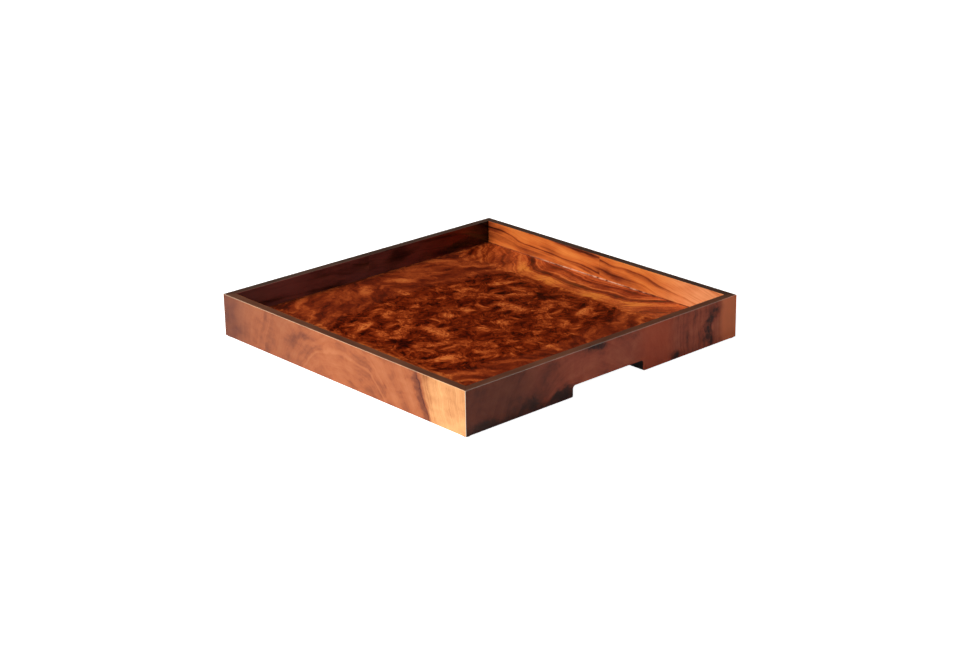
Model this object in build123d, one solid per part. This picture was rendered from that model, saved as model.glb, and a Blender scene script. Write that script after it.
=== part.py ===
"""A square wooden serving tray: four mitred walls veneered on both faces, a dark lipping along the
rim between the veneers, a burl-veneered floor panel held in a groove, and a finger notch in the foot of two opposite
walls.

The panel's board and its backing veneer sit in the walls' groove. The burl leaves are laid on the
board between the walls' inner leaves, which reach down to it. Battens under the panel stiffen the
notched walls on both sides of their notches.

Millimetres, +Z up. The origin is the centre of the footprint, on the surface that the tray stands
on. The notched walls are the front (-Y) and the back (+Y); the left (-X) and right (+X) are plain.
"""

import os

from build123d import *

# Driving dimensions
SIDE = 420.0  # outer length of every wall, veneers included
WALL_HEIGHT = 51.0  # from the foot of a wall to the top of the rim lipping
CORE_THICKNESS = 9.5
VENEER = 0.6
FLOOR_LEVEL = 22.0  # top of the floor, above the foot of the walls
PANEL_CORE = 6.0  # the floor panel's own board, without its veneers
GROOVE_DEPTH = 4.0  # how far the groove for the floor panel is cut into a wall core
PANEL_GAP = 0.3  # room left at the bottom of the groove for the panel to swell into
LEAF_JOINT_X = -6.0  # where the burl leaves of the floor's left and right halves meet
RIM_HEIGHT = 1.6  # of the lipping on a wall core, between the two veneers
RIM_ROUNDING = 0.5  # along the veneers' upper edges
CORNER_ROUNDING = 0.5  # down the four outer corners
FELT = 1.0  # lining under the floor panel
FELT_GAP = 0.5  # between the lining's edge and the walls

# Finger notches
NOTCH_WIDTH = 110.0
NOTCH_HEIGHT = 13.0
NOTCH_TOP_RADIUS = 4.0
NOTCH_FOOT_RADIUS = 1.8  # eases the notch's two lower corners

# Battens behind the notched walls, between the panel and the level of the walls' feet
BATTEN_WIDTH = 18.0
BATTEN_GAP = 0.3  # left at the ends that face the plain walls

# Loose tongues that lock the mitres
TONGUE_THICKNESS = 3.0
TONGUE_WIDTH = 7.0
TONGUE_FOOT = 25.0  # above the foot of the walls, clear of the floor panel
TONGUE_TOP = 46.0
TONGUE_INSET = 1.0  # from the middle of the core towards the inside of the tray

# Pads that the tray stands on
PAD_HEIGHT = 1.2
PAD_DIAMETER = 9.0

# Levels, worked out from the driving dimensions
foot = PAD_HEIGHT
rim_top = foot + WALL_HEIGHT
rim_foot = rim_top - RIM_HEIGHT
floor_top = foot + FLOOR_LEVEL
panel_top = floor_top - VENEER  # the board's upper face, which the burl leaves are laid on
panel_core_foot = panel_top - PANEL_CORE
panel_foot = panel_core_foot - VENEER

# Half widths of the square outlines, from the outside of the tray inwards
outer_face = SIDE / 2
core_outer = outer_face - VENEER
core_inner = core_outer - CORE_THICKNESS
inner_face = core_inner - VENEER
panel_edge = core_inner + GROOVE_DEPTH - PANEL_GAP

SIDES = {"front": 0, "right": 90, "back": 180, "left": 270}  # turns about +Z from the front
NOTCHED = ("front", "back")
CORNERS = {
    "front_left": (-1, -1),
    "front_right": (1, -1),
    "back_right": (1, 1),
    "back_left": (-1, 1),
}


def slab(half_x, half_y, low, high):
    """A block centred on the origin in plan, between two levels."""
    block = Box(2 * half_x, 2 * half_y, high - low)
    return Pos(0, 0, (low + high) / 2) * block


def square_ring(outer, inner, low, high, rounding=0.0):
    """A square frame between two levels, with its outer corners rounded if asked."""
    body = slab(outer, outer, low, high)
    if rounding:
        body = fillet(body.edges().filter_by(Axis.Z), rounding)
    return body - slab(inner, inner, low - 1, high + 1)


def one_side(ring, side):
    """The part of a square frame that lies on one side of the tray, cut at both mitres."""
    reach = SIDE
    outline = Polyline((0, 0), (-reach, -reach), (reach, -reach), close=True)
    wedge = extrude(make_face(outline), 2 * WALL_HEIGHT)
    return ring & (Rot(0, 0, SIDES[side]) * wedge)


def notch_cutter():
    """The space of both finger notches: rounded at the top, and eased where it meets the foot."""
    half, top = NOTCH_WIDTH / 2, foot + NOTCH_HEIGHT
    ease = NOTCH_FOOT_RADIUS
    flare = half + ease
    arc = 1 - 2**-0.5
    outline = [
        Line((-flare, foot - 1), (-flare, foot)),
        ThreePointArc((-flare, foot), (-half - ease * arc, foot + ease * arc), (-half, foot + ease)),
        Line((-half, foot + ease), (-half, top - NOTCH_TOP_RADIUS)),
        ThreePointArc(
            (-half, top - NOTCH_TOP_RADIUS),
            (-half + NOTCH_TOP_RADIUS * arc, top - NOTCH_TOP_RADIUS * arc),
            (-half + NOTCH_TOP_RADIUS, top),
        ),
        Line((-half + NOTCH_TOP_RADIUS, top), (0, top)),
    ]
    left = Wire(outline)
    right = mirror(left, about=Plane.YZ)
    base = Line((flare, foot - 1), (-flare, foot - 1))
    face = Plane.XZ * make_face([*left.edges(), *right.edges(), base])
    return extrude(face, SIDE, both=True)


def tongue(corner):
    """A loose tongue across one mitre, upright, thin across the corner's diagonal."""
    x_sign, y_sign = CORNERS[corner]
    middle = (core_outer + core_inner) / 2 - TONGUE_INSET
    height = TONGUE_TOP - TONGUE_FOOT
    block = Box(TONGUE_THICKNESS, TONGUE_WIDTH, height)
    place = Pos(x_sign * middle, y_sign * middle, foot + TONGUE_FOOT + height / 2)
    return place * Rot(0, 0, 45 * x_sign * y_sign) * block


def wall_cores(notch, tongues):
    """The four boards, grooved for the floor panel and slotted for the tongues."""
    ring = square_ring(core_outer, core_inner, foot, rim_foot)
    ring -= slab(core_inner + GROOVE_DEPTH, core_inner + GROOVE_DEPTH, panel_foot, panel_top)
    for piece in tongues.values():
        ring -= piece
    return {
        side: one_side(ring, side) - notch if side in NOTCHED else one_side(ring, side)
        for side in SIDES
    }


def rounded_rim(ring, half):
    """A square frame with the upper edges rounded that lie at half from the middle."""
    top_edges = ring.faces().sort_by(Axis.Z)[-1].edges()
    half_of = {e: max(abs(e.center().X), abs(e.center().Y)) for e in top_edges}
    return fillet([e for e in top_edges if abs(half_of[e] - half) < VENEER / 2], RIM_ROUNDING)


def outer_veneers(notch):
    """One full-length leaf on the outer face of each wall, up to the top of the rim."""
    ring = square_ring(outer_face, core_outer, foot, rim_top, CORNER_ROUNDING)
    ring = rounded_rim(ring, outer_face)
    return {
        side: one_side(ring, side) - notch if side in NOTCHED else one_side(ring, side)
        for side in SIDES
    }


def inner_veneers():
    """Two leaves on the inner face of each wall, jointed at mid-length, from the board upwards."""
    ring = square_ring(core_inner, inner_face, panel_top, rim_top)
    ring = rounded_rim(ring, inner_face)
    leaves = {}
    for side, turn in SIDES.items():
        face = one_side(ring, side)
        for end, sign in (("a", -1), ("b", 1)):
            half = Pos(sign * SIDE / 2, 0, 0) * Box(SIDE, 2 * SIDE, 4 * WALL_HEIGHT)
            leaves[f"{side}_{end}"] = face & (Rot(0, 0, turn) * half)
    return leaves


def rim_lippings():
    """Dark lippings on the cores' top edges, mitred, flush with the veneers on both sides."""
    ring = square_ring(core_outer, core_inner, rim_foot, rim_top)
    return {side: one_side(ring, side) for side in SIDES}


def floor_leaves():
    """Four burl leaves that meet along the floor's middle and across it at LEAF_JOINT_X."""
    leaves = {}
    for corner, (x_sign, y_sign) in CORNERS.items():
        end = x_sign * inner_face
        leaf = Box(abs(end - LEAF_JOINT_X), inner_face, VENEER)
        centre = Pos((end + LEAF_JOINT_X) / 2, y_sign * inner_face / 2, panel_top + VENEER / 2)
        leaves[corner] = centre * leaf
    return leaves


def battens(notch):
    """Strips glued under the panel and against the notched walls, which stop at the notches."""
    half_notch = NOTCH_WIDTH / 2
    length = core_inner - BATTEN_GAP - half_notch
    pieces = {}
    for corner, (x_sign, y_sign) in CORNERS.items():
        strip = Box(length, BATTEN_WIDTH, panel_foot - foot)
        across = x_sign * (half_notch + length / 2)
        back = y_sign * (core_inner - BATTEN_WIDTH / 2)
        pieces[corner] = Pos(across, back, (foot + panel_foot) / 2) * strip - notch
    return pieces


def pad(corner):
    """A round felt pad under the foot of one corner."""
    x_sign, y_sign = CORNERS[corner]
    middle = (outer_face + core_inner) / 2
    disc = Cylinder(PAD_DIAMETER / 2, PAD_HEIGHT)
    return Pos(x_sign * middle, y_sign * middle, PAD_HEIGHT / 2) * disc


def tray():
    """Every piece of the tray by name."""
    notch = notch_cutter()
    tongues = {corner: tongue(corner) for corner in CORNERS}
    lining_half = core_inner - FELT_GAP
    lining_back = lining_half - BATTEN_WIDTH
    pieces = {
        "floor_core": slab(panel_edge, panel_edge, panel_core_foot, panel_top),
        "floor_backing_veneer": slab(panel_edge, panel_edge, panel_foot, panel_core_foot),
        "underside_felt": slab(lining_half, lining_back, panel_foot - FELT, panel_foot),
    }
    pieces.update({f"wall_core_{k}": v for k, v in wall_cores(notch, tongues).items()})
    pieces.update({f"mitre_tongue_{k}": v for k, v in tongues.items()})
    pieces.update({f"outer_veneer_{k}": v for k, v in outer_veneers(notch).items()})
    pieces.update({f"inner_veneer_{k}": v for k, v in inner_veneers().items()})
    pieces.update({f"rim_lipping_{k}": v for k, v in rim_lippings().items()})
    pieces.update({f"floor_veneer_{k}": v for k, v in floor_leaves().items()})
    pieces.update({f"notch_batten_{k}": v for k, v in battens(notch).items()})
    pieces.update({f"foot_pad_{k}": pad(k) for k in CORNERS})
    return pieces


os.makedirs("parts", exist_ok=True)
for name, shape in tray().items():
    export_step(shape, f"parts/{name}.step")
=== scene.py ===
"""The looks of a square burl-veneered tray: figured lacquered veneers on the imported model's nodes,
a felt lining, felt pads, and the lacquer that has pooled in the joint round the floor.

Everything is in metres in the model's own frame: +Z up, with a notched wall at -Y. The materials
are written in millimetres, which is how veneer figure is measured.
"""

import math

import bmesh
import bpy
from mathutils import Matrix, Vector, noise


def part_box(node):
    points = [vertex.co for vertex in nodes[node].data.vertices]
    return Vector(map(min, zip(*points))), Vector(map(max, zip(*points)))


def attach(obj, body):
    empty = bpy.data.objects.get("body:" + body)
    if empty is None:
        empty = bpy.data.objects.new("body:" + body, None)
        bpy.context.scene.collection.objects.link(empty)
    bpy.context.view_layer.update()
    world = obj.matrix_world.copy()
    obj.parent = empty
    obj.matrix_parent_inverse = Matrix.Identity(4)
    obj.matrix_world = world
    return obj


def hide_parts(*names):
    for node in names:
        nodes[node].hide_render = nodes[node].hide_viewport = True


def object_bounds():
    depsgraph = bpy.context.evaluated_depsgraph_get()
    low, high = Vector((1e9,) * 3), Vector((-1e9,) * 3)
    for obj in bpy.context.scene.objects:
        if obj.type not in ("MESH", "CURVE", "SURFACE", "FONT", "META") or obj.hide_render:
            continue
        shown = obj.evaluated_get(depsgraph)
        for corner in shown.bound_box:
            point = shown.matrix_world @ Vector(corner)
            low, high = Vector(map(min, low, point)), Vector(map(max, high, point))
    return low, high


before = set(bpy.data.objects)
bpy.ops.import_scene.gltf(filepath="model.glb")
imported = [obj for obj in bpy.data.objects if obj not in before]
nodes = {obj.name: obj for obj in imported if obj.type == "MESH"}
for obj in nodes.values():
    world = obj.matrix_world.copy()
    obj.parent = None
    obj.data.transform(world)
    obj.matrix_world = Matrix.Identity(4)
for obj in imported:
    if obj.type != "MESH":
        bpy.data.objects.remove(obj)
cad_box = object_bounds()

MM = 0.001

# The tray's levels and places, read from the frame
leaf_low, leaf_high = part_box("floor_veneer_back_right")
lining_low, lining_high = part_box("underside_felt")
leaf_joint = leaf_low.x  # where the left and right halves of the floor meet
floor_top = leaf_high.z
inner_half = leaf_high.x
outer_half = cad_box[1].x
wall_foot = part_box("outer_veneer_front")[0].z
rim_top = cad_box[1].z

SIDES = ("front", "right", "back", "left")  # each a quarter turn about +Z from the one before
CORNERS = ("front_left", "front_right", "back_right", "back_left")


# ---------------------------------------------------------------- arithmetic on material nodes


class Field:
    """A value that varies over a surface: a node's output that arithmetic can be done on."""

    def __init__(self, recipe, socket):
        self.recipe = recipe
        self.socket = socket

    def __add__(self, other):
        return self.recipe.math("ADD", self, other)

    def __sub__(self, other):
        return self.recipe.math("SUBTRACT", self, other)

    def __rsub__(self, other):
        return self.recipe.math("SUBTRACT", other, self)

    def __mul__(self, other):
        return self.recipe.math("MULTIPLY", self, other)

    def __abs__(self):
        return self.recipe.math("ABSOLUTE", self)

    __radd__ = __add__
    __rmul__ = __mul__

    def power(self, other):
        return self.recipe.math("POWER", self, other)

    def sign(self):
        return self.recipe.math("SIGN", self)

    def most(self, other):
        return self.recipe.math("MAXIMUM", self, other)

    def rise(self, low, high):
        """0 where this is under low, 1 where it is over high, and smooth between them."""
        inputs = {"Value": self, "From Min": low, "From Max": high}
        return self.recipe.node("ShaderNodeMapRange", inputs, interpolation_type="SMOOTHSTEP")

    def within(self, low, high, edge):
        """1 between low and high, falling smoothly to 0 over edge outside them."""
        return self.rise(low - edge, low) * (1 - self.rise(high, high + edge))


class Recipe:
    """A material that is being put together. Lengths in it are in millimetres."""

    def __init__(self, name):
        self.material = bpy.data.materials.new(name)
        self.material.use_nodes = True
        self.tree = self.material.node_tree
        self.tree.nodes.clear()
        inputs = {0: self.node("ShaderNodeTexCoord", {}, output="Object"), "Scale": 1 / MM}
        self.place = self.node("ShaderNodeVectorMath", inputs, operation="SCALE")
        self.x, self.y, self.z = self.parts(self.place)

    def node(self, kind, inputs, output=0, **settings):
        """Adds a node and returns one of its outputs."""
        made = self.tree.nodes.new(kind)
        for name, value in settings.items():
            setattr(made, name, value)
        for name, value in inputs.items():
            if isinstance(value, Field):
                self.tree.links.new(value.socket, made.inputs[name])
            else:
                made.inputs[name].default_value = value
        return Field(self, made.outputs[output]) if made.outputs else None

    def math(self, operation, a, b=0.0, c=0.0):
        return self.node("ShaderNodeMath", {0: a, 1: b, 2: c}, operation=operation)

    def parts(self, vector):
        """The X, Y and Z of a vector."""
        split = self.node("ShaderNodeSeparateXYZ", {"Vector": vector}).socket.node
        return tuple(Field(self, output) for output in split.outputs)

    def vector(self, x, y, z=0.0):
        return self.node("ShaderNodeCombineXYZ", {"X": x, "Y": y, "Z": z})

    def noise(self, at, size, detail=2.0, roughness=0.5, distortion=0.0):
        """Cloudy noise from 0 to 1, whose lumps are about size across."""
        inputs = {
            "Vector": at,
            "Scale": 1 / size,
            "Detail": detail,
            "Roughness": roughness,
            "Distortion": distortion,
        }
        return self.node("ShaderNodeTexNoise", inputs)

    def grain(self, across, size, detail=2.0, roughness=0.5):
        """Noise along one value: lines of random darkness wherever across is the same."""
        inputs = {"W": across, "Scale": 1 / size, "Detail": detail, "Roughness": roughness}
        return self.node("ShaderNodeTexNoise", inputs, noise_dimensions="1D")

    def pips(self, at, size):
        """The distance to the nearest of many scattered points, in steps of size."""
        inputs = {"Vector": at, "Scale": 1 / size}
        return self.node("ShaderNodeTexVoronoi", inputs, output="Distance")

    def shifted(self, at, size, by, detail=1.0):
        """A place that cloudy noise has moved by up to about by."""
        inputs = {"Vector": at, "Scale": 1 / size, "Detail": detail}
        cloud = self.node("ShaderNodeTexNoise", inputs, output="Color")
        inputs = {0: cloud, 1: (0.5, 0.5, 0.5)}
        centred = self.node("ShaderNodeVectorMath", inputs, operation="SUBTRACT")
        inputs = {0: centred, 1: (3 * by, 3 * by, 3 * by), 2: at}
        return self.node("ShaderNodeVectorMath", inputs, operation="MULTIPLY_ADD")

    def spot(self, at, centre, reach, turn=0.0):
        """1 at a centre, falling smoothly to 0 at reach: two half widths, turned by degrees."""
        inputs = {
            "Vector": at,
            "Location": (centre[0], centre[1], 0),
            "Rotation": (0, 0, math.radians(turn)),
            "Scale": (reach[0], reach[1], 1e6),
        }
        local = self.node("ShaderNodeMapping", inputs, vector_type="TEXTURE")
        away = self.node("ShaderNodeVectorMath", {0: local}, output="Value", operation="LENGTH")
        return 1 - away.rise(0, 1)

    def spots(self, at, rows):
        """Spots added together: a row has a centre, two half widths, a turn and a strength."""
        total = None
        for centre, reach, turn, strength in rows:
            one = self.spot(at, centre, reach, turn) * strength
            total = one if total is None else total + one
        return total

    def colours(self, value, stops):
        """A colour for each value: stops are pairs of value and linear RGB."""
        ramp = self.node("ShaderNodeValToRGB", {"Fac": value})
        scale = ramp.socket.node.color_ramp
        while len(scale.elements) < len(stops):
            scale.elements.new(1.0)
        for element, (position, colour) in zip(scale.elements, stops):
            element.position = position
            element.color = opaque(colour)
        return ramp

    def blend(self, factor, a, b):
        """Colour a where factor is 0, and colour b where it is 1."""
        inputs = {0: factor, 6: opaque(a), 7: opaque(b)}
        return self.node("ShaderNodeMix", inputs, output=2, data_type="RGBA")

    def bump(self, height, depth):
        """A normal from a height, where 1 stands depth millimetres above 0."""
        return self.node("ShaderNodeBump", {"Height": height, "Distance": depth * MM})

    def surface(self, colour, roughness, normal, **others):
        """The finished material. The others are shader inputs, with _ for a space in a name."""
        inputs = {"Base Color": opaque(colour), "Roughness": roughness, "Normal": normal}
        inputs.update({name.replace("_", " "): value for name, value in others.items()})
        shader = self.node("ShaderNodeBsdfPrincipled", inputs)
        self.node("ShaderNodeOutputMaterial", {"Surface": shader})
        return self.material


def opaque(colour):
    return colour if isinstance(colour, Field) else (*colour, 1)


# ---------------------------------------------------------------- veneers

# Colours by tone: each stop is a tone from 0 to 1 and a linear RGB
BURL = [
    (0.00, (0.014, 0.0012, 0.0002)),
    (0.16, (0.052, 0.0036, 0.0004)),
    (0.36, (0.150, 0.0120, 0.0014)),
    (0.56, (0.305, 0.0385, 0.0060)),
    (0.76, (0.560, 0.1000, 0.0190)),
    (1.00, (0.820, 0.2100, 0.0450)),
]
GOLD = [
    (0.16, (0.052, 0.0040, 0.0003)),
    (0.48, (0.250, 0.0350, 0.0025)),
    (0.74, (0.600, 0.1350, 0.0090)),
    (1.00, (0.900, 0.3000, 0.0260)),
]

# Walnut colours: a dark line, the body colour and pale wood
OUTER_PLAIN = (0.145, 0.035, 0.016), (0.34, 0.096, 0.034), (0.47, 0.168, 0.068)
OUTER_SAPWOOD = (0.36, 0.125, 0.042), (0.56, 0.250, 0.095), (0.80, 0.450, 0.190)
OUTER_NOTCHED = (0.100, 0.017, 0.008), (0.42, 0.075, 0.032), (0.66, 0.160, 0.074)
INNER_PLAIN = (0.17, 0.025, 0.006), (0.54, 0.120, 0.022), (0.80, 0.270, 0.056)
INNER_PEACH = (0.34, 0.085, 0.026), (0.62, 0.190, 0.068), (0.80, 0.330, 0.150)
INNER_NOTCHED_LEFT = (0.054, 0.0120, 0.0100), (0.205, 0.054, 0.044), (0.30, 0.090, 0.074)
INNER_NOTCHED_RIGHT = (0.040, 0.0026, 0.0014), (0.160, 0.0120, 0.0056), (0.23, 0.026, 0.012)

FLOOR_LACQUER = {
    "Specular_IOR_Level": 0.08,
    "Coat_Weight": 0.5,
    "Coat_Roughness": 0.07,
    "Coat_IOR": 1.42,
}
GLOSS = {**FLOOR_LACQUER, "Coat_Weight": 0.8, "Coat_Roughness": 0.12}
SATIN = {**FLOOR_LACQUER, "Specular_IOR_Level": 0.10, "Coat_Weight": 0.22, "Coat_Roughness": 0.22}

# Spots: each row is a centre, two half widths, a turn in degrees and a strength. On the floor a
# place is (u, v) from the joints of the leaves, u towards a plain wall and v towards a notched one.
# On a wall it is (along, up) from the middle of the wall's foot, or inside, of the floor's edge.
FLOOR_DARK = [
    ((104, 4), (30, 15), 38, 0.30),
    ((118, 15), (24, 10), 0, 0.18),
    ((41, 9), (17, 13), -10, 0.26),
    ((41, 93), (20, 13), 0, 0.28),
    ((108, 102), (28, 18), 50, 0.26),
    ((90, 112), (22, 14), 0, 0.20),
    ((118, 52), (30, 10), -50, 0.20),
    ((133, 28), (15, 15), 0, 0.18),
    ((40, 124), (9, 15), 0, 0.22),
    ((53, 148), (17, 14), 0, 0.18),
    ((92, 158), (18, 17), 0, 0.18),
    ((24, 62), (24, 15), 10, 0.12),
    ((75, 40), (15, 10), -40, 0.14),
    ((8, 80), (9, 24), 0, 0.12),
]
FLOOR_LIGHT = [
    ((61, 6), (16, 26), 0, 0.26),
    ((66, 20), (24, 18), 30, 0.16),
    ((90, 32), (26, 9), -38, 0.26),
    ((107, 70), (15, 14), 0, 0.30),
    ((12, 28), (9, 18), -32, 0.26),
    ((92, 116), (24, 10), 10, 0.14),
    ((70, 103), (22, 9), -30, 0.20),
    ((38, 114), (24, 7), -14, 0.14),
    ((25, 162), (14, 28), 34, 0.28),
    ((98, 160), (16, 22), 30, 0.10),
    ((118, 60), (14, 18), 0, 0.10),
]
FLOOR_EYE = [((0, 125), (6, 5), 0, 0.75), ((0, 125), (14, 12), 0, -0.34)]
OUTER_PLAIN_DARK = [
    ((-50, 41), (30, 9), 8, 0.36),
    ((-86, 28), (52, 8), 22, 0.16),
    ((80, 20), (6, 16), 8, 0.26),
    ((122, 44), (14, 12), 0, 0.18),
    ((-196, 24), (18, 13), 0, 0.18),
    ((-190, 40), (20, 13), 30, 0.14),
    ((-176, 12), (24, 12), -20, 0.18),
    ((-158, 26), (26, 9), 30, 0.14),
    ((-207, 26), (11, 44), 0, 0.24),
    ((-188, 10), (16, 12), 30, 0.24),
    ((-120, 8), (34, 10), 30, 0.12),
]
OUTER_NOTCHED_DARK = [
    ((-178, 4), (42, 12), 4, 0.22),
    ((-112, 11), (24, 15), 0, 0.28),
    ((-70, 7), (32, 15), 14, 0.34),
    ((-140, 30), (18, 24), 0, 0.10),
    ((-20, 49), (30, 11), 0, 0.34),
    ((-12, 43), (12, 11), 0, 0.16),
    ((162, 14), (17, 34), 4, 0.34),
    ((173, 40), (14, 26), -14, 0.30),
    ((106, 5), (13, 11), 20, 0.42),
]
OUTER_NOTCHED_LIGHT = [
    ((28, 20), (14, 6), 0, 0.14),
    ((170, 22), (4, 8), 0, 0.5),
    ((-156, 40), (70, 22), 0, 0.14),
    ((70, 42), (50, 18), 0, 0.10),
    ((0, 24), (120, 34), 0, 0.10),
]
INNER_PLAIN_DARK = [
    ((34, 8), (74, 10), -5, 0.40),
    ((62, 18), (64, 4), -8, 0.12),
    ((-24, 27), (40, 5), -3, 0.26),
    ((-84, 16), (90, 3.4), -7, 0.20),
    ((-40, 7), (60, 3.0), -6, 0.24),
    ((-126, 6), (60, 8), -6, 0.30),
    ((-200, 14), (46, 30), 0, 0.32),
]
INNER_PLAIN_LIGHT = [
    ((-60, 22), (40, 5), -8, 0.14),
    ((-110, 19), (50, 5), -6, 0.14),
    ((70, 26), (40, 5), -6, 0.12),
]
INNER_NOTCHED_DARK = [
    ((44, 14), (44, 20), 20, 0.24),
    ((140, 7), (44, 9), 4, 0.46),
    ((-150, 8), (60, 5), 4, 0.20),
    # painted shade: the next row darkens the inner corner at the right end of a notched wall
    ((206, 14), (60, 44), 0, 0.50),
    ((-60, 4), (60, 6), 3, 0.20),
    ((-150, 21), (84, 24), 0, -0.34),
]

STRIPES_FROM = 131, 144  # the stripes take over from the burl between these distances along u
GOLD_BAND, DARK_BAND, LIGHT_BAND = (149, 165), (172.5, 177), (181, 184)  # among the stripes
CORNER_FROM, CORNER_SOFTNESS = 84, 18  # along v, past which the stripes open outwards
FLAMES_FROM = 106, 130  # the flames take over between these distances along v, on an arch
FLAME_LEAN = 0.67, 0.74  # the flames' layers lie square to this direction in (u, v)
VALLEY, VEE_SLOPE = 150, 0.92  # the u where stripes meet flames in vees, and the vees' steepness
BROAD_VEE, FINE_VEE, FAINT_VEE = (172, 179), (76, 78), (128, 136)  # up the valley

SLICE_SHIFT = 6  # how far the next slice's figure has moved along the wall
PLAIN_CROWN, NOTCHED_CROWN = 10, -38  # where along an outer leaf its rings are highest
SAP_RING = 136  # sapwood starts at this ring, past the dark streak


class FloorLeaf(Recipe):
    """The floor's burl: one leaf's figure, mirrored about the joints of the leaves.

    A place is kept as it is and in three versions that cloudy noise has moved: wavy for what stays
    near its line, swept for the large masses, and curled for the burl's small figure.
    """

    def __init__(self):
        super().__init__("floor_burl")
        x = self.x - leaf_joint / MM
        self.u, self.v = abs(x), abs(self.y)
        self.left_half = 1 - x.rise(-1, 1)
        self.slice = x.sign() * 0.9 + self.y.sign() * 1.6
        self.at = self.vector(self.u, self.v, self.slice)
        self.swept = self.shifted(self.at, 44, 7)
        self.curled = self.shifted(self.shifted(self.swept, 34, 10), 13, 5.5, detail=2)
        self.wavy_u, self.wavy_v, _ = self.parts(self.shifted(self.at, 26, 3, detail=2))
        self.swept_u, self.swept_v, _ = self.parts(self.swept)
        self.curled_u, self.curled_v, _ = self.parts(self.curled)

        self.opened = self.math("SMOOTH_MAX", self.wavy_v, CORNER_FROM, CORNER_SOFTNESS)
        self.opened = self.opened - CORNER_FROM
        self.corner = self.opened.rise(4, 44)
        self.wander = self.noise(self.at, 22, detail=3, roughness=0.6) - 0.5
        self.dark = self.spots(self.swept, FLOOR_DARK)
        self.light = self.spots(self.swept, FLOOR_LIGHT)

        self.rings = self.curling_lines(self.curled, 26, 0.030, detail=4)
        self.curls = self.curling_lines(self.shifted(self.curled, 30, 9), 12, 0.045, detail=3)
        self.threads = self.curling_lines(self.curled, 7, 0.07, detail=3)
        flecks = self.noise(self.curled, 12, detail=3, roughness=0.6, distortion=1.0)
        self.flecks = flecks + (self.light - self.dark) * 0.10
        self.ragged = self.noise(self.curled, 15, detail=4, roughness=0.62)
        fine = self.noise(self.curled, 3.4, detail=3, roughness=0.65, distortion=1.2)
        self.fine = fine.rise(0.34, 0.66)
        blotches = self.noise(self.curled, 8, detail=3, roughness=0.6, distortion=0.7)
        self.blotches = blotches.rise(0.34, 0.66)

    def curling_lines(self, at, size, width, detail):
        """0 along thin curling lines about size apart, and 1 between them."""
        return abs(self.noise(at, size, detail=detail, roughness=0.6) - 0.5).rise(0, width)

    def burl(self):
        """The tone of the burl: ragged masses, curling lines, wisps and small eyes."""
        masses = self.noise(self.curled, 32, detail=3, distortion=0.4)
        masses = masses + (self.light - self.dark) * 0.48
        eyes = 1 - self.pips(self.curled, 9.0).rise(0.06, 0.22)
        wisps = self.noise(self.curled, 21, detail=4, roughness=0.58)
        wisps = 1 - abs(wisps - 0.46).rise(0.0, 0.06)
        tone = masses.rise(0.38, 0.64) * 0.31 + self.flecks.rise(0.41, 0.62) * 0.20
        tone = tone + self.rings * 0.17 + self.curls * 0.18 + self.threads * 0.13
        tone = tone + self.fine * 0.08 - eyes * 0.12 + wisps * 0.14 - 0.205
        tone = tone - (self.ragged + self.dark).rise(0.60, 0.76) * 0.20
        return tone + (self.ragged + self.light).rise(0.62, 0.80) * (wisps * 0.12 + 0.10)

    def stripes(self):
        """The tone beside the plain walls, and how gold it is.

        The stripes bulge inwards at mid-length and open outwards to the corners.
        """
        corner = self.corner
        bulge = self.spot(self.at, (184, 0), (100, 66)) * 8
        across = self.wavy_u + bulge - self.opened * 0.90
        loose = across + self.wander * (corner * 16 + 9)
        bands = self.grain(loose + 8, 14, detail=1.5).rise(0.30, 0.66)
        lines = self.grain(loose, 5.5).rise(0.38, 0.56)
        stretched = self.vector(loose * 1.6, self.wavy_v, self.slice)
        patches = self.noise(stretched, 26, detail=4, roughness=0.6)
        pinch = 1 - self.spot(self.at, (156, 0), (22, 15)) * 0.8
        gold = across.within(*GOLD_BAND, 5) * pinch
        dark_band = across.within(*DARK_BAND, 3)
        light_band = across.within(*LIGHT_BAND, 2)
        swirls = self.flecks.rise(0.40, 0.62) * 0.04 + self.rings * 0.08 + self.curls * 0.04 - 0.12

        tone = bands * 0.20 + patches.rise(0.36, 0.64) * (0.24 - corner * 0.08) + 0.188
        tone = tone + lines * (across.rise(166, 178) * 0.07 + 0.17) + self.threads * 0.09
        tone = tone + gold * (0.27 - corner * 0.11) - dark_band * 0.26 + light_band * 0.14
        gilt = gold * (1 - corner * 0.7) * (patches.rise(0.40, 0.60) * 0.30 + 0.10)
        return tone + swirls * corner, gilt

    def flames(self):
        """The tone towards the notched walls: soft slanting tongues with finer lines in them."""
        lean_u, lean_v = FLAME_LEAN
        slant = self.swept_u * lean_u + self.swept_v * lean_v
        along = self.swept_v * lean_u - self.swept_u * lean_v
        curl = self.curled_u + self.curled_v - self.swept_u - self.swept_v
        layers = self.vector(slant + curl * 0.7, along * 0.36, self.slice)
        tongues = self.noise(layers, 17, detail=4, roughness=0.6).rise(0.40, 0.60)
        hairs = self.grain(slant + self.wander * 22, 14).rise(0.36, 0.52)
        tone = tongues * 0.28 + hairs * 0.11 + self.blotches * 0.08 + self.fine * 0.05
        return tone + self.rings * 0.08 + self.curls * 0.08 + self.threads * 0.05 + 0.065

    def zones(self):
        """How much of the stripes and of the flames there is at a place. The rest is burl."""
        inner_edge = self.wavy_u + (self.ragged - 0.5) * 46 + self.wander * 22
        striped = (inner_edge - self.blotches * 8 - self.corner * 6).rise(*STRIPES_FROM)
        arched = self.swept_v + self.swept_u.power(2) * (1 / 560) - self.blotches * 20
        return striped, arched.rise(*FLAMES_FROM) * (1 - striped)

    def up_the_valley(self, u, v, off, rounding):
        """A distance that is the same along a V whose point lies off from the valley's line."""
        sideways = u - (VALLEY + off)
        return v - (sideways.power(2) + rounding).power(0.5) * VEE_SLOPE

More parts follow.
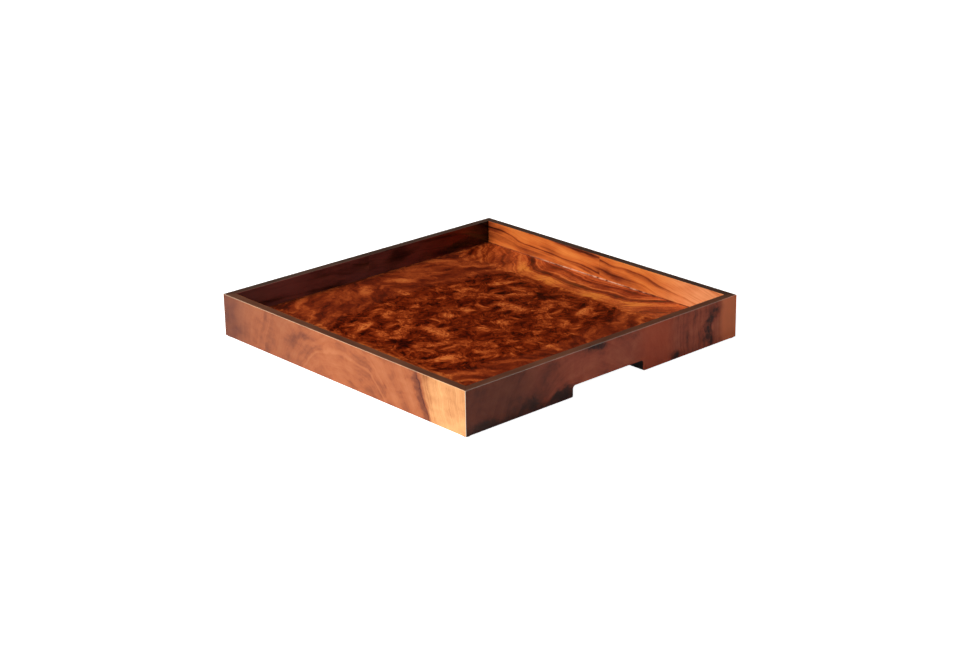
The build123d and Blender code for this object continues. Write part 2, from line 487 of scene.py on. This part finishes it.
    def vees(self):
        """What is added to the tone where stripes meet flames: dark vees and faint nested ones."""
        jagged_u = self.wavy_u + (self.blotches - 0.5) * 14
        jagged_v = self.wavy_v + (self.ragged - 0.5) * 26
        up = self.up_the_valley(jagged_u, jagged_v, 5, 70)
        dark = up.within(*BROAD_VEE, 6).most(up.within(*FINE_VEE, 4))
        dark = dark.most(up.within(*FAINT_VEE, 8) * 0.5)
        dark = dark * (1 - abs(self.wavy_u - (VALLEY - 1)).rise(6, 36)) * (self.ragged * 1.6 - 0.4)
        smooth = self.up_the_valley(self.swept_u, self.swept_v + self.wander * 14, 0, 90)
        nested = self.grain(smooth + 5, 21, roughness=0.45).rise(0.38, 0.54) - 0.45
        nested = nested * (1 - abs(self.wavy_u - VALLEY).rise(20, 76)) * self.wavy_v.rise(84, 98)
        return nested * 0.22 - dark * 0.40


def floor_burl():
    """Burl walnut under gloss lacquer: stripes beside the plain walls and flames at the others."""
    r = FloorLeaf()
    striped, flaming = r.zones()
    stripes, gilt = r.stripes()
    tone = r.burl() * (1 - flaming.most(striped)) + stripes * striped + r.flames() * flaming
    tone = tone + r.vees() + (r.light - r.dark) * flaming * 0.9 - r.spots(r.curled, FLOOR_EYE)
    fibres = r.vector(r.curled_u, r.curled_v * 0.45, r.slice)
    pores = 1 - r.noise(fibres, 0.9, detail=1).rise(0.24, 0.36)
    # painted shade: the left half of the floor is darkened a little towards the notched walls, a
    # painted shadow of the back wall mirrored to the front
    tone = tone - pores * 0.08 - r.left_half * r.v.rise(96, 130) * 0.04
    colour = r.blend(flaming * 0.06, r.colours(tone, BURL), (0.20, 0.09, 0.05))
    colour = r.blend(gilt * striped, colour, r.colours(tone, GOLD))
    seam = (1 - r.u.rise(0.04, 0.14)).most(1 - r.v.rise(0.04, 0.14))
    colour = r.blend(seam * 0.6, colour, (0.01, 0.003, 0.001))
    ripple = r.noise(r.place, 26, detail=1)
    normal = r.bump(ripple + tone * 0.04, 0.05)
    return r.surface(colour, 0.42 - tone * 0.10, normal, Coat_Normal=normal, **FLOOR_LACQUER)


def is_plain(side):
    """Whether a wall has no notch."""
    return side in ("left", "right")


def wall_axes(r, side, inside=False):
    """How far right of a wall's middle a place is, as the wall is looked at, and how high."""
    turn = math.radians(90 * SIDES.index(side))
    along = r.x * round(math.cos(turn)) + r.y * round(math.sin(turn))
    return (-1 * along if inside else along), r.z


def figured(r, tone, low, middle, high):
    """Walnut colours from a dark line through the body colour to pale wood."""
    stops = [(0.0, [0.10 * c for c in low]), (0.25, low), (0.55, middle), (1.0, high)]
    return r.colours(tone, stops)


class OuterLeaf(Recipe):
    """A wall's outer leaf: growth rings that arch over a crown. (s, h) is along it and up it."""

    def __init__(self, side):
        super().__init__("outer_walnut_" + side)
        along, self.height = wall_axes(self, side)
        if side in ("right", "back"):  # the next slices of the left and front leaves, turned over
            along = SLICE_SHIFT - along
        layer = self.layer = 40.0 * SIDES.index(side)
        soft = self.shifted(self.vector(along, self.height - wall_foot / MM, layer), 36, 5)
        self.crisp = self.shifted(soft, 9, 1.6, detail=2)
        self.s, self.h, _ = self.parts(self.crisp)
        self.out = abs(self.s - (PLAIN_CROWN if is_plain(side) else NOTCHED_CROWN))
        arch = self.out.power(2) * (1 / 160) + (self.out * (1 / 55)).power(4) + self.h + 6
        self.rings = arch.most(0.1).power(0.5) * 10
        self.lines = self.grain(self.rings + layer, 2.6, roughness=0.6).rise(0.25, 0.75)
        self.ragged = self.noise(self.crisp, 9, detail=4, roughness=0.65)
        pores = self.noise(self.vector(self.s * 1.6, self.h * 0.22, layer), 0.8, detail=1)
        self.pores = 1 - pores.rise(0.27, 0.36)
        bands = self.grain(self.rings + layer, 15).rise(0.25, 0.75)
        cloud = self.noise(soft, 34, detail=3).rise(0.3, 0.7)
        mottle = self.noise(self.vector(self.s * 0.6, self.h, layer), 8, detail=3, roughness=0.6)
        tone = bands * 0.15 + self.lines * 0.06 + cloud * 0.24 + mottle.rise(0.3, 0.7) * 0.12
        self.tone = tone + 0.26

    def plain_colour(self):
        """The leaf of a plain wall: pale arches, a dark streak, then sapwood at the right end."""
        s, out, rings = self.s, self.out, self.rings
        right_end = s.rise(50, 100)
        sap = rings.rise(SAP_RING, SAP_RING + 5) * right_end
        uneven = rings + self.ragged * 7
        streak = uneven.within(SAP_RING - 5, SAP_RING + 1, 5) * right_end * (0.35 + self.ragged)
        thin_streak = uneven.within(SAP_RING + 0.5, SAP_RING + 1.5, 1.5) * right_end
        arch = rings.within(65, 66, 1.6) * (1 - out.rise(62, 84))
        echo = rings.within(76, 77, 1.6) * s.rise(20, 40) * (1 - out.rise(66, 84))
        dark = self.spots(self.crisp, OUTER_PLAIN_DARK) * (0.35 + self.ragged * 0.8)
        tone = self.tone + arch * 0.20 + echo * 0.12 - streak * 0.22 - thin_streak * 0.12 - dark
        tone = tone - self.pores * 0.07
        dull = 0.38 * (1 - s.rise(-100, -10)) + 0.62 * (1 - s.rise(-205, -140))
        wood = self.blend(dull * 0.74, figured(self, tone, *OUTER_PLAIN), (0.100, 0.030, 0.020))
        grain = self.grain(rings, 2.0, detail=3, roughness=0.6).rise(0.3, 0.7)
        sap_tone = tone + grain * 0.14 + s.rise(138, 176) * 0.34 - 0.30
        sapwood = figured(self, sap_tone, *OUTER_SAPWOOD)
        return self.blend(sap * (1 - thin_streak * 0.5), wood, sapwood)

    def notched_colour(self):
        """The leaf of a notched wall: dull at the left, redder at the right, with dark blotches."""
        s = self.s
        dark = self.spots(self.crisp, OUTER_NOTCHED_DARK)
        ragged_edge = (self.ragged + dark * 0.7).rise(0.56, 0.86)
        dark = dark * (0.45 + self.ragged * 0.9) + ragged_edge * 0.16
        dark = dark + s.within(113, 128, 5) * 0.14 + s.within(134, 138, 3) * 0.08
        dark = dark + (1 - self.h.rise(0, 16)) * 0.24 * (1 - s.rise(-60, -40))
        upright = self.noise(self.vector(s * 1.2, self.h * 0.06, self.layer), 6, detail=3)
        light = self.spots(self.crisp, OUTER_NOTCHED_LIGHT)
        light = light + upright.rise(0.3, 0.7) * 0.18 * s.rise(20, 100)
        tone = (self.tone + light - dark - self.pores * 0.06).most(0.09)
        wood = figured(self, tone, *OUTER_NOTCHED)
        wood = self.blend((1 - s.rise(-150, -40)) * 0.68, wood, (0.050, 0.014, 0.006))
        redder = s.rise(36, 64) * (1 - s.rise(90, 110))
        wood = self.blend(redder * 0.62, wood, (0.56, 0.072, 0.018))
        return self.blend(s.rise(178, 192) * 0.88, wood, (0.92, 0.225, 0.080))


def outer_walnut(side):
    """A wall's outer leaf under satin lacquer, with a painted highlight along the rim and down the
    corners.
    """
    r = OuterLeaf(side)
    colour = r.plain_colour() if is_plain(side) else r.notched_colour()
    # painted highlight: the top edge and the outer corners are painted pale where their arrises
    # would catch the light
    highlight_from, highlight_to = outer_half / MM - 0.55, outer_half / MM - 0.2
    corner = abs(r.x).rise(highlight_from, highlight_to) * abs(r.y).rise(highlight_from, highlight_to)
    rim = r.height.rise(rim_top / MM - 0.75, rim_top / MM - 0.35)
    arris_highlight = (0.92, 0.72, 0.50) if is_plain(side) else (0.80, 0.74, 0.66)
    colour = r.blend(corner.most(rim * 0.28), colour, arris_highlight)
    ripple = r.noise(r.place, 18, detail=1)
    normal = r.bump(ripple + r.lines * 0.03 - r.pores * 0.05, 0.06)
    return r.surface(colour, 0.45, normal, Coat_Normal=normal, **SATIN)


class InnerLeaves(Recipe):
    """A wall's two inner leaves: long wavy veins, which don't meet where the leaves are jointed."""

    def __init__(self, side):
        super().__init__("inner_walnut_" + side)
        self.along, height = wall_axes(self, side, inside=True)
        z = height - floor_top / MM
        leaf = self.along.sign()
        layer = 30.0 * SIDES.index(side)
        squeezed = self.vector(self.along * 0.30 + leaf * 31, z, layer)
        waved = self.shifted(squeezed, 16, 2.2, detail=2)
        w, self.h, _ = self.parts(waved)
        wave = self.noise(self.vector(self.along, z * 0.8, layer + leaf * 17), 110, detail=1.5)
        slope = self.h * 0.9 + z * 0.1 + self.along * 0.09 + wave * 26
        veins = self.grain(slope + leaf * 13 + layer, 9.5, detail=2.5, roughness=0.65)
        self.lines = self.grain(slope + w * 0.15, 1.3).rise(0.2, 0.8)
        self.cloud = self.noise(waved, 12, detail=3).rise(0.3, 0.7)
        pores = self.noise(self.vector(w * 0.5, self.h * 1.6, layer), 0.7, detail=1)
        tone = veins.rise(0.30, 0.52) * 0.32 + self.lines * 0.08 + self.cloud * 0.24
        self.tone = tone + 0.19 - (1 - pores.rise(0.27, 0.36)) * 0.06
        self.at = self.vector(self.along, self.h)

    def plain_colour(self):
        """The leaves of a plain wall: orange, and peach with fine streaks towards the right."""
        along = self.along
        streaky = self.grain(self.h + along * 0.28, 2.2).rise(0.35, 0.6)
        pale = along.rise(70, 170)
        dark = self.spots(self.at, INNER_PLAIN_DARK) * (1 - pale * 0.8)
        tone = self.tone + self.spots(self.at, INNER_PLAIN_LIGHT) - dark
        tone = tone + pale * (streaky * 0.14 + 0.02) - (1 - along.rise(10, 60)) * 0.07
        wood = figured(self, tone, *INNER_PLAIN)
        return self.blend(pale * 0.8, wood, figured(self, tone, *INNER_PEACH))

    def notched_colour(self):
        """The leaves of a notched wall: low in contrast, dull at the left, redder at the right."""
        dark = self.spots(self.at, INNER_NOTCHED_DARK)
        tone = self.tone * 0.45 + self.cloud * 0.14 + 0.14 - dark
        left = figured(self, tone, *INNER_NOTCHED_LEFT)
        return self.blend(self.along.rise(0, 150), left, figured(self, tone, *INNER_NOTCHED_RIGHT))


def inner_walnut(side):
    """A wall's two inner leaves under gloss lacquer, with a fine dark joint at mid-length."""
    r = InnerLeaves(side)
    colour = r.plain_colour() if is_plain(side) else r.notched_colour()
    joint = 1 - abs(r.along).rise(0.05, 0.22)
    colour = r.blend(joint * 0.5, colour, (0.10, 0.02, 0.008))
    ripple = r.noise(r.place, 18, detail=1)
    normal = r.bump(ripple + r.lines * 0.03, 0.05)
    return r.surface(colour, 0.42, normal, Coat_Normal=normal, **GLOSS)


# ---------------------------------------------------------------- the other materials


def along_and_across(r):
    """How far along the nearest wall a place is, and how far out across it."""
    on_plain = (abs(r.x) - abs(r.y)).sign() * 0.5 + 0.5
    on_notched = 1 - on_plain
    return r.y * on_plain + r.x * on_notched, r.x * on_plain + r.y * on_notched


def dark_lipping():
    """Stained solid wood along the rim, satin, with a painted reflection at the front and left and
    painted shade at the back and right.
    """
    r = Recipe("dark_lipping")
    along, signed_across = along_and_across(r)
    across = abs(signed_across)
    fibre = r.noise(r.vector(along * 0.05, across, r.z), 0.7, detail=3, roughness=0.6)
    fibre = fibre.rise(0.3, 0.7)
    cloud = r.noise(r.vector(along * 0.3, across, r.z), 24, detail=2).rise(0.3, 0.7)
    tone = fibre * 0.5 + cloud * 0.5
    # near is the front and left rims, painted paler as a reflection of the bright table; far is the
    # back and right rims, painted darker as shade
    near = r.colours(tone, [(0.0, (0.088, 0.031, 0.017)), (1.0, (0.185, 0.071, 0.038))])
    far = r.colours(tone, [(0.0, (0.057, 0.030, 0.021)), (1.0, (0.120, 0.064, 0.045))])
    colour = r.blend((r.x + r.y).rise(-40, 40), near, far)
    mitre = 1 - abs(abs(r.x) - abs(r.y)).rise(0.10, 0.35)
    colour = r.blend(mitre * 0.7, colour, (0.010, 0.005, 0.003))
    normal = r.bump(fibre, 0.02)
    return r.surface(colour, 0.36 + fibre * 0.14, normal, Specular_IOR_Level=0.35)


def painted_core():
    """Board edges brushed with black-brown paint: the walls' feet, notches and insides."""
    r = Recipe("painted_core")
    along, across = along_and_across(r)
    strokes = r.noise(r.vector(along * 0.08, across, r.z), 1.3, detail=3, roughness=0.6)
    strokes = strokes.rise(0.3, 0.7)
    thin = r.noise(r.place, 14, detail=3).rise(0.45, 0.75)
    colour = r.colours(strokes, [(0.0, (0.010, 0.006, 0.005)), (1.0, (0.024, 0.014, 0.010))])
    colour = r.blend(thin * strokes * 0.35, colour, (0.060, 0.028, 0.016))
    normal = r.bump(strokes, 0.05)
    return r.surface(colour, 0.48 + strokes * 0.12, normal, Specular_IOR_Level=0.4)


def plywood():
    """Birch plywood: darker and paler plies above each other, with fine fibres."""
    r = Recipe("plywood")
    plies = r.grain(r.z, 1.25, detail=0).rise(0.4, 0.6)
    fibre = r.noise(r.vector(r.x * 0.06, r.y, r.z), 1.0, detail=3).rise(0.3, 0.7)
    tone = plies * 0.5 + fibre * 0.5
    colour = r.colours(tone, [(0.0, (0.36, 0.24, 0.13)), (1.0, (0.66, 0.52, 0.34))])
    return r.surface(colour, 0.6, r.bump(fibre, 0.05))


def backing_veneer():
    """Plain straight-grained walnut, unpolished."""
    r = Recipe("backing_veneer")
    at = r.shifted(r.vector(r.x * 0.06, r.y, 0), 12, 1.5)
    _, across, _ = r.parts(at)
    lines = r.grain(across, 5, detail=4, roughness=0.6).rise(0.25, 0.75)
    colour = r.colours(lines, [(0.0, (0.12, 0.05, 0.022)), (1.0, (0.34, 0.19, 0.10))])
    return r.surface(colour, 0.55, r.bump(lines, 0.02))


def felt(name, dark, light):
    """Pressed wool: matted fibres with a faint mottle and a soft nap."""
    r = Recipe(name)
    matted = r.shifted(r.place, 1.6, 0.7, detail=3)
    fibres = r.noise(matted, 0.55, detail=4, roughness=0.75, distortion=2.0).rise(0.3, 0.7)
    cloud = r.noise(r.place, 22, detail=3).rise(0.3, 0.7)
    lint = r.noise(matted, 2.3, detail=2, distortion=3.0).rise(0.66, 0.74)
    colour = r.colours(fibres * 0.6 + cloud * 0.4, [(0.0, dark), (1.0, light)])
    colour = r.blend(lint * 0.25, colour, [3 * c for c in light])
    normal = r.bump(fibres, 0.22)
    return r.surface(colour, 0.95, normal, Sheen_Weight=0.18, Sheen_Roughness=0.5,
                     Specular_IOR_Level=0.15)


def pooled_lacquer():
    """Lacquer over the stained joint: dark amber, with a painted highlight in pale dashes beside a
    plain wall's middle.
    """
    r = Recipe("pooled_lacquer")
    cloud = r.noise(r.place, 9, detail=3).rise(0.38, 0.62)
    colour = r.colours(cloud, [(0.0, (0.11, 0.016, 0.004)), (1.0, (0.30, 0.060, 0.014))])
    beside_plain = (abs(r.x) - abs(r.y)).rise(0, 20)
    # painted highlight: pale dashes along the middle of the joints beside the plain walls, where the
    # fillet would catch the light
    painted_highlight = r.y.within(-30, 60, 80) * beside_plain * (cloud * 0.75 + 0.05)
    colour = r.blend(painted_highlight, colour, (0.68, 0.35, 0.22))
    normal = r.bump(r.noise(r.place, 7, detail=1), 0.05)
    return r.surface(colour, 0.45, normal, Specular_IOR_Level=0.15)


def repaint(node, material):
    """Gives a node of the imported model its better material."""
    node.data.materials.clear()
    node.data.materials.append(material)


def finish_nodes():
    """One material for each sort of node, or one for each wall where the walls' leaves differ."""
    painted = painted_core()
    ply = plywood()
    shared = {
        "floor_veneer": floor_burl(),
        "rim_lipping": dark_lipping(),
        "wall_core": painted,
        "notch_batten": painted,
        "mitre_tongue": ply,
        "floor_core": ply,
        "floor_backing_veneer": backing_veneer(),
        "foot_pad": felt("pad_felt", (0.016, 0.010, 0.008), (0.050, 0.034, 0.028)),
        "underside_felt": felt("lining_felt", (0.004, 0.0036, 0.0036), (0.018, 0.0165, 0.0165)),
    }
    for name, node in nodes.items():
        for stem, material in shared.items():
            if name.startswith(stem):
                repaint(node, material)
    for side in SIDES:
        repaint(nodes["outer_veneer_" + side], outer_walnut(side))
        material = inner_walnut(side)
        for end in "ab":
            repaint(nodes[f"inner_veneer_{side}_{end}"], material)
    return shared


# ---------------------------------------------------------------- pieces made here


def new_piece(name, mesh, material):
    """Puts a bmesh into the scene as a piece of the tray."""
    data = bpy.data.meshes.new(name)
    bmesh.ops.recalc_face_normals(mesh, faces=mesh.faces)
    mesh.to_mesh(data)
    mesh.free()
    data.materials.append(material)
    piece = bpy.data.objects.new(name, data)
    bpy.context.scene.collection.objects.link(piece)
    for face in data.polygons:
        face.use_smooth = True
    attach(piece, "root")
    return piece


def felt_lining(material):
    """The felt under the floor panel: glued flat above, with a soft uneven face and a cut edge."""
    inset = 0.3 * MM  # from the lining's CAD box, so that the wandering edge stays within it
    half_x, half_y = lining_high.x - inset, lining_high.y - inset
    edge_wander, edge_wave = 0.25 * MM, 17 * MM
    nap_height, nap_wave = 0.07 * MM, 11 * MM
    clear = 0.10 * MM  # room for the nap above the CAD box's lower face
    rounded, rounding_from = 0.30 * MM, 0.985  # how far the lower edge curls up, and from where
    cells = 96
    mesh = bmesh.new()
    faces = []
    for level in (lining_high.z, lining_low.z):
        grid = []
        for i in range(cells + 1):
            for j in range(cells + 1):
                x = half_x * (2 * i / cells - 1)
                y = half_y * (2 * j / cells - 1)
                edge = max(abs(x) / half_x, abs(y) / half_y)
                wander = noise.noise(Vector((x, y, 0.3)) / edge_wave) * edge_wander
                pull = 1 + wander / half_x if edge > 0.999 else 1.0
                lift = 0.0
                if level == lining_low.z:
                    nap = noise.fractal(Vector((x, y, 0)) / nap_wave, 1.0, 2.0, 3) * nap_height
                    curl = rounded * max(0.0, edge - rounding_from) / (1 - rounding_from)
                    lift = clear + nap + curl
                grid.append(mesh.verts.new((x * pull, y * pull, level + lift)))
        faces.append(grid)
    step = cells + 1
    for grid in faces:
        for i in range(cells):
            for j in range(cells):
                first = i * step + j
                corners = first, first + 1, first + step + 1, first + step
                mesh.faces.new([grid[k] for k in corners])
    upper, lower = faces
    rim = [i * step for i in range(cells)]
    rim += [cells * step + j for j in range(cells)]
    rim += [i * step + cells for i in range(cells, 0, -1)]
    rim += list(range(cells, 0, -1))
    for here, there in zip(rim, rim[1:] + rim[:1]):
        mesh.faces.new([upper[here], upper[there], lower[there], lower[here]])
    piece = new_piece("felt_lining", mesh, material)
    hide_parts("underside_felt")


def felt_pad(corner, material):
    """A punched felt disc, pressed a little thinner at its edge and bulging where squeezed."""
    low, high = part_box("foot_pad_" + corner)
    centre = (low + high) / 2
    radius = (high.x - low.x) / 2 - 0.15 * MM  # leaves room for the bulge
    tall = high.z - low.z
    around = 48
    # from the middle of the underside to the middle of the top, in shares of radius and height
    profile = [(0.0, 0.02), (0.55, 0.01), (0.86, 0.03), (0.95, 0.10), (1.0, 0.26), (1.015, 0.5)]
    profile += [(1.0, 0.74), (0.975, 0.92), (0.94, 1.0), (0.5, 1.0), (0.0, 1.0)]
    mesh = bmesh.new()
    rings = []
    for out, up in profile:
        ring = []
        for k in range(around):
            angle = 2 * math.pi * k / around
            where = Vector((math.cos(angle), math.sin(angle), up)) * 1.9
            ragged = 1 + 0.012 * noise.noise(where + centre * 300) * (out > 0.9)
            spread = radius * out * ragged
            ring.append((spread * math.cos(angle), spread * math.sin(angle), low.z + tall * up))
        rings.append(ring if out else ring[:1])
    verts = [
        [mesh.verts.new((x + centre.x, y + centre.y, z)) for x, y, z in ring] for ring in rings
    ]
    for inner, outer in zip(verts, verts[1:]):
        for k in range(around):
            nxt = (k + 1) % around
            quad = [inner[k % len(inner)], inner[nxt % len(inner)], outer[nxt % len(outer)]]
            quad.append(outer[k % len(outer)])
            mesh.faces.new(list(dict.fromkeys(quad)))
    piece = new_piece("felt_pad_" + corner, mesh, material)
    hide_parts("foot_pad_" + corner)


def lacquer_fillet(side, material):
    """Lacquer pooled where the floor meets a wall: a thin hollow fillet, mitred at both ends."""
    reach = 1.1 * MM
    swelling = 0.22  # the fillet's width wanders by this share of it
    steps = 8
    stations = 80
    turn = Matrix.Rotation(math.radians(90 * SIDES.index(side)), 4, "Z")
    profile = [(0.0, 0.0)]
    for k in range(steps + 1):
        angle = math.radians(90 * k / steps)
        profile.append((reach * (1 - math.sin(angle)), reach * (1 - math.cos(angle))))
    mesh = bmesh.new()
    sections = []
    for i in range(stations + 1):
        share = 2 * i / stations - 1
        swell = 1 + swelling * noise.noise(Vector((share * 9, SIDES.index(side) * 5.0, 0.5)))
        section = []
        for out, up in profile:
            place = inner_half - out * swell
            point = Vector((share * place, -place, floor_top + up * swell))
            section.append(mesh.verts.new(turn @ point))
        sections.append(section)
    count = len(profile)
    for one, two in zip(sections, sections[1:]):
        for k in range(count):
            nxt = (k + 1) % count
            mesh.faces.new([one[k], one[nxt], two[nxt], two[k]])
    mesh.faces.new(sections[0])
    mesh.faces.new(sections[-1])
    new_piece("lacquer_fillet_" + side, mesh, material)


# ---------------------------------------------------------------- floor, light and camera

TABLE_GLOW, TABLE_SEEN = 0.10, 1.0  # how bright the table is to the tray, and to the eye
SURROUND, SURROUND_SEEN = 0.005, 1.0  # and the surround
KEY = {"azimuth": 176, "elevation": 34, "distance": 2.6, "size": (1.5, 1.1), "radiance": 18.0}
BACK = {"azimuth": 126, "elevation": 30, "distance": 2.6, "size": (0.9, 0.7), "radiance": 2.5}
FRONT = {"azimuth": -38, "elevation": 32, "distance": 2.6, "size": (0.9, 0.7), "radiance": 0.8}

LENS, SENSOR = 76.49, 36  # mm
CAMERA_AZIMUTH, CAMERA_ELEVATION, CAMERA_ROLL = 227.876, 20.384, -0.856  # degrees
CAMERA_DISTANCE = 2.3646
ASIDE, ABOVE = 0.0014, -0.0152  # how far the camera stands from the line through the walls' middle


def brightness_by_ray(tree, lighting, seen, target):
    """Sets one brightness for the light that reaches the tray and another for what the eye sees."""
    ray = tree.nodes.new("ShaderNodeLightPath")
    strength = tree.nodes.new("ShaderNodeMapRange")
    strength.inputs["To Min"].default_value = lighting
    strength.inputs["To Max"].default_value = seen
    tree.links.new(ray.outputs["Is Camera Ray"], strength.inputs["Value"])
    tree.links.new(strength.outputs["Result"], target)


def stage_floor():
    """A plain white table that glows a little, as one lit from below does."""
    bpy.ops.mesh.primitive_plane_add(size=24, location=(0, 0, 0))
    table = bpy.context.object
    table.name = "stage_floor"
    material = bpy.data.materials.new("stage_white")
    material.use_nodes = True
    tree = material.node_tree
    shader = tree.nodes["Principled BSDF"]
    shader.inputs["Base Color"].default_value = (0.82, 0.82, 0.82, 1)
    shader.inputs["Roughness"].default_value = 0.9
    shader.inputs["Specular IOR Level"].default_value = 0.0
    shader.inputs["Emission Color"].default_value = (1, 1, 1, 1)
    brightness_by_ray(tree, TABLE_GLOW, TABLE_SEEN, shader.inputs["Emission Strength"])
    table.data.materials.append(material)


def sky():
    """A pale surround for the eye, and a dim one for the light that falls on the tray."""
    world = bpy.data.worlds.new("studio")
    bpy.context.scene.world = world
    world.use_nodes = True
    tree = world.node_tree
    tree.nodes.clear()
    back = tree.nodes.new("ShaderNodeBackground")
    back.inputs["Color"].default_value = (1, 1, 1, 1)
    brightness_by_ray(tree, SURROUND, SURROUND_SEEN, back.inputs["Strength"])
    end = tree.nodes.new("ShaderNodeOutputWorld")
    tree.links.new(back.outputs[0], end.inputs["Surface"])


def towards(azimuth, elevation):
    """A unit vector: azimuth anticlockwise from +X and elevation up from level, in degrees."""
    a, e = math.radians(azimuth), math.radians(elevation)
    return Vector((math.cos(a) * math.cos(e), math.sin(a) * math.cos(e), math.sin(e)))


def softbox(name, azimuth, elevation, distance, size, radiance):
    """A rectangular area light that faces the tray. Radiance is how bright its face looks."""
    lamp = bpy.data.lights.new(name, "AREA")
    lamp.shape = "RECTANGLE"
    lamp.size, lamp.size_y = size
    lamp.energy = radiance * math.pi * size[0] * size[1]
    lamp.color = (1.0, 0.985, 0.96)
    box = bpy.data.objects.new(name, lamp)
    bpy.context.scene.collection.objects.link(box)
    away = towards(azimuth, elevation)
    box.location = away * distance
    box.rotation_euler = away.to_track_quat("Z", "Y").to_euler()
    box.visible_camera = False


def camera():
    """Looks from the front left, down on the walls' middle."""
    middle = Vector((0, 0, (wall_foot + rim_top) / 2))
    away = towards(CAMERA_AZIMUTH, CAMERA_ELEVATION)
    roll = math.radians(CAMERA_ROLL)
    right = (-away).cross(Vector((0, 0, 1))).normalized()
    up = right.cross(-away)
    rolled_right = math.cos(roll) * right + math.sin(roll) * up
    rolled_up = math.cos(roll) * up - math.sin(roll) * right
    place = middle + away * CAMERA_DISTANCE + rolled_right * ASIDE + rolled_up * ABOVE
    data = bpy.data.cameras.new("camera")
    data.lens = LENS
    data.sensor_width = SENSOR
    view = bpy.data.objects.new("camera", data)
    bpy.context.scene.collection.objects.link(view)
    axes = Matrix((rolled_right, rolled_up, away)).transposed()
    view.matrix_world = Matrix.Translation(place) @ axes.to_4x4()
    bpy.context.scene.camera = view


materials = finish_nodes()
felt_lining(materials["underside_felt"])
for corner in CORNERS:
    felt_pad(corner, materials["foot_pad"])
amber = pooled_lacquer()
for side in SIDES:
    lacquer_fillet(side, amber)
stage_floor()
sky()
softbox("key", **KEY)
softbox("back_fill", **BACK)
softbox("front_fill", **FRONT)
camera()

view_settings = bpy.context.scene.view_settings
view_settings.view_transform = "Standard"
view_settings.look = "None"
